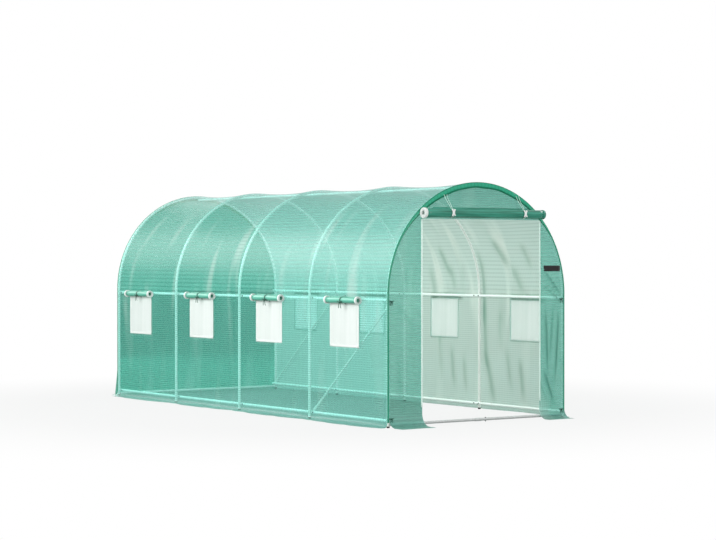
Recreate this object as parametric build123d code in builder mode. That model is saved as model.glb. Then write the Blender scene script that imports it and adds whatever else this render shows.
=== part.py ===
"""Walk-in tunnel greenhouse: steel hoops and rails under a woven cover, with a rolled-up door and windows."""

import os
from math import acos, atan2, degrees, hypot

from build123d import *

# Driving dimensions, in millimetres. X runs across, Y from front to back, Z up from the ground.
FRAME_WIDTH = 2000.0  # over the outsides of the legs
BAY_LENGTH = 1220.0  # from one hoop to the next
BAY_COUNT = 4
SPRING_HEIGHT = 1135.0  # from the ground to where the legs turn into the arch
TUBE_DIAMETER = 25.0
SEAT = 0.3  # clearance between pieces that rest on each other
OVERRUN = 5.0  # how far cutting tools reach past what they cut

# Feet, rails and braces
FOOT_DIAMETER = 27.0
FOOT_HEIGHT = 14.0
END_RAIL_CLEARANCE = 1.0  # from the top of the feet to the underside of the end rails
RAIL_STACK_GAP = 6.5  # from the end rails up to the side base rails that pass over them
SIDE_RAIL_DROP = 35.0  # from the spring line down to the axis of the side rails
COUPLING_DIAMETER = 29.0
COUPLING_LENGTH = 70.0
BRACE_DIAMETER = 19.0
BRACE_TAB_WIDTH = 24.0
BRACE_TAB_THICKNESS = 5.0
BRACE_TAB_LENGTH = 42.0
BRACE_HOLE_DIAMETER = 6.5
BRACE_TOP_MARGIN = 6.0  # from the side rail to the brace's upper tab
BRACE_FOOT_INSET = 48.0  # from the next hoop to the brace's lower bolt

# Cover, hems and skirts
COVER_THICKNESS = 2.0
ROOF_SAG = 24.0  # how far the roof dips between hoops, at the ridge
HEM_THICKNESS = 2.2
HEM_CROWN_WIDTH = 48.0
HEM_SIDE_WIDTH = 22.0
HEM_FOOT_HEIGHT = 40.0
SIDE_SKIRT_HEIGHT = 90.0
SIDE_SKIRT_BEND = 55.0
SIDE_SKIRT_REACH = 115.0
END_SKIRT_HEIGHT = 150.0
END_SKIRT_BEND = 112.0
END_SKIRT_REACH = 195.0

# Door
DOOR_WIDTH = 1330.0
DOOR_OFFSET = 35.0  # the door sits a little to the right of the middle
DOOR_RISE = 672.0  # from the spring line up to the top of the doorway
ZIP_WIDTH = 22.0
ZIP_THICKNESS = 2.0
DOOR_ROLL_RADIUS = 42.0
DOOR_ROLL_LENGTH = 1361.0  # over its end rings
DOOR_ROLL_OFFSET = 20.5  # of its middle from the middle of the front
DOOR_RING_RADIUS = 48.0  # of the wound-up zip tape at each end of the roll
DOOR_RING_WIDTH = 24.0
DOOR_RING_HOLE_RADIUS = 12.0
DOOR_ROLL_RISE = 50.0  # from the top of the doorway to the axis of the roll
DOOR_ROLL_PITCH = 8.0
DOOR_ROLL_HALF_TURNS = 8
DOOR_ROLL_LEAD = 52.0  # height of the flap that hangs behind the roll, above its axis
FLAP_THICKNESS = 2.5
TIE_WIDTH = 14.0
TIE_THICKNESS = 1.5
DOOR_TIE_SHARES = (0.22, 0.82)  # places of the ties along the roll
DOOR_TIE_RISE = 175.0  # from the axis of the roll up to the seam of the tie
DOOR_TIE_DROP = 44.0  # and down to where the tie ends behind the roll
TOGGLE_WIDTH = 18.0
TOGGLE_HEIGHT = 36.0
TOGGLE_DEPTH = 9.0
TOGGLE_ROUND = 3.5

# Windows
WINDOW_COUNT = 4  # on each side
WINDOW_PITCH = 1245.0
WINDOW_SHIFT_LEFT = 68.5  # of the whole row, towards the back
WINDOW_SHIFT_RIGHT = -28.5
WINDOW_WIDTH = 452.0
WINDOW_HEIGHT = 400.0
WINDOW_TOP_DROP = 62.0  # from the spring line down to the top of the mesh panel
WINDOW_MARGIN = 10.0  # how far the mesh panel laps over the cover at its sides and foot
WINDOW_TOP_MARGIN = 10.0
MESH_THICKNESS = 1.5
TAPE_WIDTH = 22.0
TAPE_THICKNESS = 1.0
WINDOW_ROLL_RADIUS = 27.0
WINDOW_ROLL_LENGTH = 500.0  # over its end rings
WINDOW_ROLL_SHIFT = -22.0  # from the middle of the window, towards the front
WINDOW_RING_RADIUS = 35.0
WINDOW_RING_WIDTH = 20.0
WINDOW_RING_HOLE_RADIUS = 11.0
WINDOW_ROLL_RISE = 19.0  # from the top of the mesh panel to the axis of the roll
WINDOW_ROLL_PITCH = 6.0
WINDOW_ROLL_HALF_TURNS = 7
WINDOW_ROLL_LEAD = 30.0
WINDOW_TIE_RISE = 40.0
WINDOW_TIE_DROP = 38.0

# Places that follow from the sizes above
TUBE_RADIUS = TUBE_DIAMETER / 2
HOOP_RADIUS = FRAME_WIDTH / 2 - TUBE_RADIUS
HALF_LENGTH = BAY_COUNT * BAY_LENGTH / 2
HOOP_PLACES = [BAY_LENGTH * i - HALF_LENGTH for i in range(BAY_COUNT + 1)]
HOOP_NAMES = ["front", *[f"inner_{i}" for i in range(1, BAY_COUNT)], "back"]
COVER_INSIDE = HOOP_RADIUS + TUBE_RADIUS + SEAT
COVER_OUTSIDE = COVER_INSIDE + COVER_THICKNESS
END_INSIDE = HALF_LENGTH + TUBE_RADIUS + SEAT
END_OUTSIDE = END_INSIDE + COVER_THICKNESS
HEM_INSIDE_HALF = COVER_OUTSIDE - HEM_SIDE_WIDTH
HEM_INSIDE_RISE = COVER_OUTSIDE - HEM_CROWN_WIDTH
END_RAIL_HEIGHT = FOOT_HEIGHT + END_RAIL_CLEARANCE + TUBE_RADIUS
BASE_RAIL_HEIGHT = END_RAIL_HEIGHT + TUBE_DIAMETER + RAIL_STACK_GAP
SIDE_RAIL_HEIGHT = SPRING_HEIGHT - SIDE_RAIL_DROP
RAIL_INSET = HOOP_RADIUS - TUBE_DIAMETER - SEAT
DOOR_LEFT = DOOR_OFFSET - DOOR_WIDTH / 2
DOOR_RIGHT = DOOR_OFFSET + DOOR_WIDTH / 2
DOOR_HEIGHT = SPRING_HEIGHT + DOOR_RISE
DOOR_ROLL_HEIGHT = DOOR_HEIGHT + DOOR_ROLL_RISE
DOOR_ROLL_STAND_OFF = HEM_THICKNESS + SEAT + DOOR_RING_RADIUS
WINDOW_TOP = SPRING_HEIGHT - WINDOW_TOP_DROP
WINDOW_FOOT = WINDOW_TOP - WINDOW_HEIGHT
WINDOW_DEPTH = MESH_THICKNESS + TAPE_THICKNESS
WINDOW_ROLL_HEIGHT = WINDOW_TOP + WINDOW_ROLL_RISE
WINDOW_ROLL_STAND_OFF = WINDOW_DEPTH + SEAT + WINDOW_RING_RADIUS
LEFT, RIGHT = -1, 1
FRONT, BACK = -1, 1


def write(part, name):
    """Labels a finished piece and writes it to its own file."""
    part.label = name
    export_step(part, f"parts/{name}.step")


def across(end, distance):
    """Upright plane across the tunnel, its normal pointing out of that end, at a distance from the middle."""
    return Plane(origin=(0, end * distance, 0), x_dir=(-end, 0, 0), z_dir=(0, end, 0))


def side_section(side, distance, place=0.0):
    """Section plane of a side wall: x points outwards and y up, from the wall's face on the ground."""
    return Plane(origin=(side * distance, place, 0), x_dir=(side, 0, 0), z_dir=(0, -side, 0))


def end_section(end, distance, place=0.0):
    """Section plane of an end wall: x points outwards and y up, from the wall's face on the ground."""
    return Plane(origin=(place, end * distance, 0), x_dir=(0, end, 0), z_dir=(end, 0, 0))


def window_places(shift):
    """Middles of one side's windows along the tunnel."""
    return [shift + WINDOW_PITCH * (i - (WINDOW_COUNT - 1) / 2) for i in range(WINDOW_COUNT)]


def arch_face(half_width, rise, foot):
    """Flat outline of the tunnel's end: straight sides under a half-round or half-oval crown."""
    with BuildSketch() as face:
        with BuildLine():
            crown = EllipticalCenterArc((0, SPRING_HEIGHT), half_width, rise, arc_size=180)
            Polyline(crown @ 0, (half_width, foot), (-half_width, foot), crown @ 1)
        make_face()
    return face.sketch


def crown_band(place, rise_drop):
    """Half-round section of the roof cover, flattened at the ridge by rise_drop."""
    with BuildSketch(Plane.XZ.offset(-place)) as band:
        with BuildLine():
            middle = (0, SPRING_HEIGHT)
            outer = EllipticalCenterArc(middle, COVER_OUTSIDE, COVER_OUTSIDE - rise_drop, arc_size=180)
            inner = EllipticalCenterArc(middle, COVER_INSIDE, COVER_INSIDE - rise_drop, arc_size=180)
            Line(outer @ 0, inner @ 0)
            Line(outer @ 1, inner @ 1)
        make_face()
    return band.sketch


def skirt_strip(top, bend, reach):
    """Section of a skirt: straight down from the wall, round a bend and out along the ground."""
    middle = COVER_THICKNESS / 2
    with BuildSketch() as strip:
        with BuildLine():
            drop = Line((middle, top), (middle, bend))
            turn = JernArc(drop @ 1, drop % 1, bend - middle, 90)
            Line(turn @ 1, (reach, middle))
        trace(line_width=COVER_THICKNESS)
    return strip.sketch


def touch_angle(point, ring, way):
    """Angle at which a straight run from a point, given from the roll's axis, meets the ring round that axis."""
    turn = degrees(acos(ring / hypot(*point)))
    return degrees(atan2(point[1], point[0])) + way * turn


def rolled_flap(radius, pitch, half_turns, seam_distance, lead):
    """Section of a flap that hangs from its seam behind the roll and winds inwards by half turns."""
    outer = radius - FLAP_THICKNESS / 2
    seam = (FLAP_THICKNESS / 2 - seam_distance, lead)
    first = touch_angle(seam, outer, 1)
    with BuildSketch() as flap:
        with BuildLine():
            arc = CenterArc((0, 0), outer, first, 360 - first)
            Line(seam, arc @ 0)
            for turn in range(1, half_turns):
                on_top = turn % 2
                CenterArc((on_top * pitch / 2, 0), outer - turn * pitch / 2, 180 * (1 - on_top), 180)
        trace(line_width=FLAP_THICKNESS)
    return flap.sketch


def strap(stand_off, radius, rise, drop, seam_stand_off, foot_stand_off):
    """Section of a tie: from its seam on the wall, taut round the front of a roll, and back under it."""
    ring = radius + SEAT + TIE_THICKNESS / 2
    seam = (seam_stand_off + TIE_THICKNESS / 2, rise)
    end = (foot_stand_off + TIE_THICKNESS / 2, -drop)
    first = touch_angle((seam[0] - stand_off, seam[1]), ring, -1)
    last = touch_angle((end[0] - stand_off, end[1]), ring, 1)
    with BuildSketch() as tie:
        with BuildLine():
            arc = CenterArc((stand_off, 0), ring, first, last - first)
            Line(seam, arc @ 0)
            Line(arc @ 1, end)
        trace(line_width=TIE_THICKNESS)
    return tie.sketch


def hoop_arch(place):
    """Half-round tube that stands on a pair of legs."""
    with BuildPart() as arch:
        with BuildSketch(Plane.XY.offset(SPRING_HEIGHT)):
            with Locations((HOOP_RADIUS, place)):
                Circle(TUBE_RADIUS)
        revolve(axis=Axis((0, place, SPRING_HEIGHT), (0, 1, 0)), revolution_arc=-180)
    return arch.part


def legs(side):
    """Upright tubes of one side, from the foot plugs to the spring line."""
    with BuildPart() as tubes:
        with Locations(*[(side * HOOP_RADIUS, place, FOOT_HEIGHT) for place in HOOP_PLACES]):
            Cylinder(TUBE_RADIUS, SPRING_HEIGHT - FOOT_HEIGHT, align=(Align.CENTER, Align.CENTER, Align.MIN))
    return tubes.part


def foot_plugs():
    """Moulded caps that close the legs and stand on the ground."""
    with BuildPart() as plugs:
        with Locations(*[(side * HOOP_RADIUS, place, 0) for side in (LEFT, RIGHT) for place in HOOP_PLACES]):
            Cylinder(FOOT_DIAMETER / 2, FOOT_HEIGHT, align=(Align.CENTER, Align.CENTER, Align.MIN))
        rims = plugs.edges().filter_by(GeomType.CIRCLE).group_by(Axis.Z)[-1]
        chamfer(rims, (FOOT_DIAMETER - TUBE_DIAMETER) / 2)
    return plugs.part


def long_rail(x_place, height):
    """Tube along the whole tunnel, inside the hoops."""
    with BuildPart() as rail:
        with BuildSketch(Plane.XZ.offset(-HALF_LENGTH - TUBE_RADIUS)):
            with Locations((x_place, height)):
                Circle(TUBE_RADIUS)
        extrude(amount=2 * (HALF_LENGTH + TUBE_RADIUS))
    return rail.part


def end_base_rail(end):
    """Ground tube between the two legs of an end hoop, made of two halves joined by a coupling."""
    half_span = HOOP_RADIUS - TUBE_RADIUS - SEAT
    with BuildPart() as rail:
        with BuildSketch(Plane.YZ.offset(-half_span)):
            with Locations((end * HALF_LENGTH, END_RAIL_HEIGHT)):
                Circle(TUBE_RADIUS)
        extrude(amount=2 * half_span)
        with BuildSketch(Plane.YZ.offset(-COUPLING_LENGTH / 2)):
            with Locations((end * HALF_LENGTH, END_RAIL_HEIGHT)):
                Circle(min(COUPLING_DIAMETER / 2, END_RAIL_HEIGHT))
        extrude(amount=COUPLING_LENGTH)
    return rail.part


def brace(side, bay):
    """Diagonal tube with flattened, drilled ends, from under the side rail down to the base rail."""
    tab_radius = BRACE_TAB_WIDTH / 2
    face = HOOP_RADIUS - TUBE_RADIUS - SEAT
    top = Vector(HOOP_PLACES[bay], SIDE_RAIL_HEIGHT - TUBE_RADIUS - BRACE_TOP_MARGIN - tab_radius)
    foot = Vector(
        HOOP_PLACES[bay + 1] - BRACE_FOOT_INSET, BASE_RAIL_HEIGHT + TUBE_RADIUS + SEAT + tab_radius
    )
    along = (foot - top).normalized()
    tube_ends = (top + along * BRACE_TAB_LENGTH / 2, foot - along * BRACE_TAB_LENGTH / 2)
    tube_x = side * (face - BRACE_DIAMETER / 2)
    start = Vector(tube_x, tube_ends[0].X, tube_ends[0].Y)
    run = Vector(0, along.X, along.Y)
    with BuildPart() as bar:
        with BuildSketch(Plane(origin=start, z_dir=run)):
            Circle(BRACE_DIAMETER / 2)
        extrude(amount=(tube_ends[1] - tube_ends[0]).length)
        with BuildSketch(Plane.YZ.offset(side * face)):
            for bolt, way in ((top, 1), (foot, -1)):
                middle = bolt + along * way * BRACE_TAB_LENGTH / 2
                with Locations(Location((middle.X, middle.Y), degrees(atan2(along.Y, along.X)))):
                    SlotOverall(BRACE_TAB_LENGTH + BRACE_TAB_WIDTH, BRACE_TAB_WIDTH)
            with Locations((top.X, top.Y), (foot.X, foot.Y)):
                Circle(BRACE_HOLE_DIAMETER / 2, mode=Mode.SUBTRACT)
        extrude(amount=-side * BRACE_TAB_THICKNESS)
    return bar.part


def roof_cover(bay):
    """Roof of one bay, tight over its two hoops and dipping between them."""
    front, back = HOOP_PLACES[bay], HOOP_PLACES[bay + 1]
    with BuildPart() as roof:
        loft([crown_band(front, 0), crown_band((front + back) / 2, ROOF_SAG), crown_band(back, 0)])
    return roof.part


def wall_cover(side, shift):
    """Upright side of the cover, with its window openings cut through."""
    opening_height = WINDOW_HEIGHT - WINDOW_MARGIN - WINDOW_TOP_MARGIN
    with BuildPart() as wall:
        with BuildSketch(Plane.YZ.offset(side * COVER_INSIDE)):
            with Locations((0, (SIDE_SKIRT_HEIGHT + SPRING_HEIGHT) / 2)):
                Rectangle(2 * HALF_LENGTH, SPRING_HEIGHT - SIDE_SKIRT_HEIGHT)
            with Locations(*[(place, WINDOW_FOOT + WINDOW_MARGIN) for place in window_places(shift)]):
                Rectangle(
                    WINDOW_WIDTH - 2 * WINDOW_MARGIN,
                    opening_height,
                    align=(Align.CENTER, Align.MIN),
                    mode=Mode.SUBTRACT,
                )
        extrude(amount=side * COVER_THICKNESS)
    return wall.part


def end_panel(end, left, right, foot):
    """Flat piece of an end wall between two upright edges, trimmed to the arch."""
    reach = COVER_INSIDE - SEAT
    with BuildPart() as panel:
        with BuildSketch(across(end, END_INSIDE)):
            add(arch_face(reach, reach, END_SKIRT_HEIGHT))
            with Locations((-end * (left + right) / 2, foot)):
                Rectangle(
                    right - left,
                    SPRING_HEIGHT + COVER_OUTSIDE,
                    align=(Align.CENTER, Align.MIN),
                    mode=Mode.INTERSECT,
                )
        extrude(amount=COVER_THICKNESS)
    return panel.part


def end_hem(end):
    """Sewn edge of the cover: a sleeve over the end hoop and a band on the face of the end wall."""
    with BuildPart() as hem:
        with BuildSketch(across(end, HALF_LENGTH)):
            add(arch_face(COVER_OUTSIDE, COVER_OUTSIDE, HEM_FOOT_HEIGHT))
            add(arch_face(COVER_INSIDE, COVER_INSIDE, HEM_FOOT_HEIGHT - OVERRUN), mode=Mode.SUBTRACT)
        extrude(amount=END_OUTSIDE - HALF_LENGTH)
        with BuildSketch(across(end, END_OUTSIDE)):
            add(arch_face(COVER_OUTSIDE, COVER_OUTSIDE, HEM_FOOT_HEIGHT))
            add(arch_face(HEM_INSIDE_HALF, HEM_INSIDE_RISE, HEM_FOOT_HEIGHT - OVERRUN), mode=Mode.SUBTRACT)
        extrude(amount=HEM_THICKNESS)
    return hem.part


def side_skirt(side):
    """Flap along a side wall that turns out over the ground."""
    with BuildPart() as skirt:
        with BuildSketch(side_section(side, COVER_INSIDE)):
            add(skirt_strip(SIDE_SKIRT_HEIGHT, SIDE_SKIRT_BEND, SIDE_SKIRT_REACH))
        extrude(amount=HALF_LENGTH, both=True)
    return skirt.part


def end_skirt(end, left, right):
    """Flap under an end wall between two upright edges, turning out over the ground."""
    with BuildPart() as skirt:
        with BuildSketch(end_section(end, END_INSIDE, (left + right) / 2)):
            add(skirt_strip(END_SKIRT_HEIGHT, END_SKIRT_BEND, END_SKIRT_REACH))
        extrude(amount=(right - left) / 2, both=True)
    return skirt.part


def door_zips():
    """Zip tapes along the two edges of the doorway, trimmed where they meet the hem."""
    with BuildPart() as tapes:
        with BuildSketch(across(FRONT, END_OUTSIDE)):
            add(arch_face(HEM_INSIDE_HALF - SEAT, HEM_INSIDE_RISE - SEAT, END_SKIRT_HEIGHT))
            edges = (DOOR_LEFT - ZIP_WIDTH / 2, DOOR_RIGHT + ZIP_WIDTH / 2)
            with Locations(*[(edge, END_SKIRT_HEIGHT) for edge in edges]):
                Rectangle(
                    ZIP_WIDTH,
                    DOOR_HEIGHT - END_SKIRT_HEIGHT,
                    align=(Align.CENTER, Align.MIN),
                    mode=Mode.INTERSECT,
                )
        extrude(amount=ZIP_THICKNESS)
    return tapes.part


def door_roll():
    """Door flap, wound up over the doorway."""
    section = end_section(FRONT, END_OUTSIDE + DOOR_ROLL_STAND_OFF, DOOR_ROLL_OFFSET)
    with BuildPart() as roll:
        with BuildSketch(section.shift_origin(section.origin + Vector(0, 0, DOOR_ROLL_HEIGHT))):
            add(
                rolled_flap(
                    DOOR_ROLL_RADIUS,
                    DOOR_ROLL_PITCH,
                    DOOR_ROLL_HALF_TURNS,
                    DOOR_ROLL_STAND_OFF - HEM_THICKNESS - SEAT,
                    DOOR_ROLL_LEAD,
                )
            )
        extrude(amount=DOOR_ROLL_LENGTH / 2 - DOOR_RING_WIDTH, both=True)
    return roll.part


def door_roll_rings():
    """Wound-up zip tape at the two ends of the door's roll."""
    section = end_section(FRONT, END_OUTSIDE + DOOR_ROLL_STAND_OFF, DOOR_ROLL_OFFSET)
    with BuildPart() as rings:
        with BuildSketch(section.shift_origin(section.origin + Vector(0, 0, DOOR_ROLL_HEIGHT))) as tape:
            Circle(DOOR_RING_RADIUS)
            Circle(DOOR_RING_HOLE_RADIUS, mode=Mode.SUBTRACT)
        extrude(tape.sketch, amount=DOOR_ROLL_LENGTH / 2, both=True)
        extrude(tape.sketch, amount=DOOR_ROLL_LENGTH / 2 - DOOR_RING_WIDTH, both=True, mode=Mode.SUBTRACT)
    return rings.part


def door_tie_places():
    """Places of the door's ties across the front."""
    start = DOOR_ROLL_OFFSET - DOOR_ROLL_LENGTH / 2
    return [start + share * DOOR_ROLL_LENGTH for share in DOOR_TIE_SHARES]


def door_ties():
    """Straps that hold the door's roll up, one near each end."""
    with BuildPart() as ties:
        for place in door_tie_places():
            with BuildSketch(end_section(FRONT, END_OUTSIDE, place)) as section:
                with Locations((0, DOOR_ROLL_HEIGHT)):
                    add(
                        strap(
                            DOOR_ROLL_STAND_OFF,
                            DOOR_ROLL_RADIUS,
                            DOOR_TIE_RISE,
                            DOOR_TIE_DROP,
                            HEM_THICKNESS + SEAT,
                            0,
                        )
                    )
            extrude(section.sketch, amount=TIE_WIDTH / 2, both=True)
    return ties.part


def door_toggles():
    """Moulded toggles that close the door's ties, in front of the roll."""
    front = END_OUTSIDE + DOOR_ROLL_STAND_OFF + DOOR_ROLL_RADIUS + TIE_THICKNESS + 2 * SEAT
    with BuildPart() as toggles:
        with BuildSketch(across(FRONT, front)):
            with Locations(*[(place, DOOR_ROLL_HEIGHT) for place in door_tie_places()]):
                RectangleRounded(TOGGLE_WIDTH, TOGGLE_HEIGHT, TOGGLE_ROUND)
        extrude(amount=TOGGLE_DEPTH)
        fillet(toggles.faces().sort_by(Axis.Y)[: len(DOOR_TIE_SHARES)].edges(), TOGGLE_ROUND)
    return toggles.part


def window_panels(side, shift):
    """Mesh panels over the window openings, each with a raised tape along its edge."""
    middle = WINDOW_FOOT + WINDOW_HEIGHT / 2
    with BuildPart() as panels:
        with BuildSketch(Plane.YZ.offset(side * COVER_OUTSIDE)):
            with Locations(*[(place, middle) for place in window_places(shift)]):
                Rectangle(WINDOW_WIDTH, WINDOW_HEIGHT)
        extrude(amount=side * MESH_THICKNESS)
        with BuildSketch(Plane.YZ.offset(side * (COVER_OUTSIDE + MESH_THICKNESS))):
            with Locations(*[(place, middle) for place in window_places(shift)]):
                Rectangle(WINDOW_WIDTH, WINDOW_HEIGHT)
                Rectangle(WINDOW_WIDTH - 2 * TAPE_WIDTH, WINDOW_HEIGHT - 2 * TAPE_WIDTH, mode=Mode.SUBTRACT)
        extrude(amount=side * TAPE_THICKNESS)
    return panels.part


def window_rolls(side, shift):
    """Window flaps of one side, each wound up over its window."""
    with BuildPart() as rolls:
        for place in window_places(shift + WINDOW_ROLL_SHIFT):
            with BuildSketch(side_section(side, COVER_OUTSIDE, place)) as section:
                with Locations((WINDOW_ROLL_STAND_OFF, WINDOW_ROLL_HEIGHT)):
                    add(
                        rolled_flap(
                            WINDOW_ROLL_RADIUS,
                            WINDOW_ROLL_PITCH,
                            WINDOW_ROLL_HALF_TURNS,
                            WINDOW_ROLL_STAND_OFF,
                            WINDOW_ROLL_LEAD,
                        )
                    )
            extrude(section.sketch, amount=WINDOW_ROLL_LENGTH / 2 - WINDOW_RING_WIDTH, both=True)
    return rolls.part


def window_roll_rings(side, shift):
    """Wound-up edge tape at the two ends of each window roll."""
    inner_half = WINDOW_ROLL_LENGTH / 2 - WINDOW_RING_WIDTH
    with BuildPart() as rings:
        for place in window_places(shift + WINDOW_ROLL_SHIFT):
            with BuildSketch(side_section(side, COVER_OUTSIDE, place)) as tape:
                with Locations((WINDOW_ROLL_STAND_OFF, WINDOW_ROLL_HEIGHT)):
                    Circle(WINDOW_RING_RADIUS)
                    Circle(WINDOW_RING_HOLE_RADIUS, mode=Mode.SUBTRACT)
            extrude(tape.sketch, amount=WINDOW_ROLL_LENGTH / 2, both=True)
            extrude(tape.sketch, amount=inner_half, both=True, mode=Mode.SUBTRACT)
    return rings.part


def window_ties(side, shift):
    """Straps round the middle of each window roll."""
    with BuildPart() as ties:
        for place in window_places(shift + WINDOW_ROLL_SHIFT):
            with BuildSketch(side_section(side, COVER_OUTSIDE, place)) as section:
                with Locations((0, WINDOW_ROLL_HEIGHT)):
                    add(
                        strap(
                            WINDOW_ROLL_STAND_OFF,
                            WINDOW_ROLL_RADIUS,
                            WINDOW_TIE_RISE,
                            WINDOW_TIE_DROP,
                            0,
                            WINDOW_DEPTH + SEAT,
                        )
                    )
            extrude(section.sketch, amount=TIE_WIDTH / 2, both=True)
    return ties.part


os.makedirs("parts", exist_ok=True)

# Frame
for hoop_name, hoop_place in zip(HOOP_NAMES, HOOP_PLACES):
    write(hoop_arch(hoop_place), f"{hoop_name}_hoop_arch")
write(legs(LEFT), "left_legs")
write(legs(RIGHT), "right_legs")
write(foot_plugs(), "foot_plugs")
for side_name, side_sign in (("left", LEFT), ("right", RIGHT)):
    write(long_rail(side_sign * RAIL_INSET, BASE_RAIL_HEIGHT), f"{side_name}_base_rail")
    write(long_rail(side_sign * RAIL_INSET, SIDE_RAIL_HEIGHT), f"{side_name}_side_rail")
write(long_rail(0, SPRING_HEIGHT + RAIL_INSET), "ridge_rail")
write(end_base_rail(FRONT), "front_base_rail")
write(end_base_rail(BACK), "back_base_rail")
write(brace(LEFT, 0), "left_front_brace")
write(brace(RIGHT, BAY_COUNT - 1), "right_back_brace")

# Cover
for bay_number in range(BAY_COUNT):
    write(roof_cover(bay_number), f"roof_cover_bay_{bay_number + 1}")
write(wall_cover(LEFT, WINDOW_SHIFT_LEFT), "left_wall_cover")
write(wall_cover(RIGHT, WINDOW_SHIFT_RIGHT), "right_wall_cover")
write(end_panel(FRONT, -COVER_OUTSIDE, DOOR_LEFT, END_SKIRT_HEIGHT), "front_panel_left")
write(end_panel(FRONT, DOOR_RIGHT, COVER_OUTSIDE, END_SKIRT_HEIGHT), "front_panel_right")
write(end_panel(FRONT, DOOR_LEFT, DOOR_RIGHT, DOOR_HEIGHT), "front_panel_top")
write(end_panel(BACK, -COVER_OUTSIDE, COVER_OUTSIDE, END_SKIRT_HEIGHT), "back_panel")
write(end_hem(FRONT), "front_hem")
write(end_hem(BACK), "back_hem")
write(side_skirt(LEFT), "left_skirt")
write(side_skirt(RIGHT), "right_skirt")
SKIRT_END = HEM_INSIDE_HALF - SEAT
write(end_skirt(FRONT, -SKIRT_END, DOOR_LEFT), "front_skirt_left")
write(end_skirt(FRONT, DOOR_RIGHT, SKIRT_END), "front_skirt_right")
write(end_skirt(BACK, -SKIRT_END, SKIRT_END), "back_skirt")

# Door and windows
write(door_zips(), "door_zips")
write(door_roll(), "door_roll")
write(door_roll_rings(), "door_roll_rings")
write(door_ties(), "door_ties")
write(door_toggles(), "door_toggles")
for side_name, side_sign, row_shift in (
    ("left", LEFT, WINDOW_SHIFT_LEFT),
    ("right", RIGHT, WINDOW_SHIFT_RIGHT),
):
    write(window_panels(side_sign, row_shift), f"{side_name}_window_panels")
    write(window_rolls(side_sign, row_shift), f"{side_name}_window_rolls")
    write(window_roll_rings(side_sign, row_shift), f"{side_name}_window_roll_rings")
    write(window_ties(side_sign, row_shift), f"{side_name}_window_ties")
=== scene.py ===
"""Dresses the tunnel greenhouse.

Woven film, hems, zips, rolled flaps, mesh windows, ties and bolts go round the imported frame.
"""

import math

import bpy
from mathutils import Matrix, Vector, noise


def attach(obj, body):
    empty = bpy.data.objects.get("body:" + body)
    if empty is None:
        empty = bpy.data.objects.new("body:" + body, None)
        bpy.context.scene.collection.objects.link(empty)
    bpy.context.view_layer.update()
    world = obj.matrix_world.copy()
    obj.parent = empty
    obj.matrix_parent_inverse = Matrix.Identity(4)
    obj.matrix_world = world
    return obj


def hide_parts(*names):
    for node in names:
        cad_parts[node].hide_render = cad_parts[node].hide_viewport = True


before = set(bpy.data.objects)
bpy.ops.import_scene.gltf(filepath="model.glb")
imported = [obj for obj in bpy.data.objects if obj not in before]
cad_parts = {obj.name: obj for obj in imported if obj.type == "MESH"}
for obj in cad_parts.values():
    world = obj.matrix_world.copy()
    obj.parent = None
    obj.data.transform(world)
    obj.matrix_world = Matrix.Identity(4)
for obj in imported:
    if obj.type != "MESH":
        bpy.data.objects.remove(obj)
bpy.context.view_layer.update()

TAU = 2 * math.pi
SIDES = {"left": -1, "right": 1}

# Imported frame, in metres from the middle of the tunnel on the ground
BAY = 1.22
HALF_LENGTH = 2 * BAY  # to the end hoops
HOOPS = [BAY * i for i in range(-2, 3)]
HOOP_HALF = 0.014  # half of the strip of film that lies on a hoop
SPRING = 1.135  # height where the legs turn into the arch
RAIL_OUT = 0.9622
RAIL_HEIGHTS = (0.059, 1.100)
RIDGE_RAIL_Z = 2.0972
SILL_Z = 0.0275  # of the rail under the doorway

# Film
FILM_RADIUS = 1.0013  # over the hoops
END_FILM = 2.4538  # to the film of the end walls
WALL_FACE = 1.0023  # to the outside of the film on the side walls
FILM_THICKNESS = 0.0008
GROUND_GAP = 0.0015  # under the film on the ground
ROOF_SAG = 0.024
SIDE_REACH = 0.113  # of the side skirts on the ground
SIDE_BEND = 0.055  # radius of the bend above them
END_EDGE = FILM_RADIUS - 0.003  # half of the width of the end walls
END_REACH = 0.192
END_BEND = 0.112
ABOVE_BEND = 0.06  # height of plain film that belongs to the bend's rows
BACK_LEAN = 0.115  # of the slack back wall at the ground
FOLD_DEPTH = 0.016  # at which a fold has its full shade
FOLD_SHARE = 0.7  # of their drawn depth by which the right wall's folds stand in

# Distances along the film from the ridge to the spring, the skirt's bend, the ground and the skirt's edge
TO_SPRING = FILM_RADIUS * math.pi / 2
TO_BEND = TO_SPRING + SPRING - SIDE_BEND
TO_GROUND = TO_BEND + SIDE_BEND * math.pi / 2
TO_EDGE = TO_GROUND + SIDE_REACH - SIDE_BEND

# Rows of an end wall, from the edge of its ground flap to the crown
ROW_FLAP = 0.08  # where the back's flap leaves the ground
ROW_BEND = 0.30  # where the front's bend has ended
ROW_SPRING = 1.0
ROW_DOOR = 1.6  # top of the doorway
ROW_CROWN = 2.0

# Hems
HEM_FOOT = 0.045
HEM_CROWN = 0.050  # width at the crown
HEM_LEG = 0.013  # width on the legs

# Doorway and its roll
DOOR_LEFT = -0.630
DOOR_RIGHT = 0.700
DOOR_TOP = 1.807
ZIP_FOOT = 0.165
ZIP_WIDTH = 0.014
DOOR_ROLL_Z = 1.857
DOOR_ROLL_Y = -2.5053
DOOR_ROLL_HALF = 0.6565
DOOR_ROLL_MIDDLE = 0.0205
DOOR_END = 0.6685  # of the zip ring and of the bare end, from the middle of the roll
DOOR_TIES = {"left": -0.3606, "right": 0.4560}
DOOR_TIE_TOP = 2.022  # where they are sewn under the hem
DOOR_TIE_RADIUS = 0.0440  # round the axis of the roll

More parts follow.
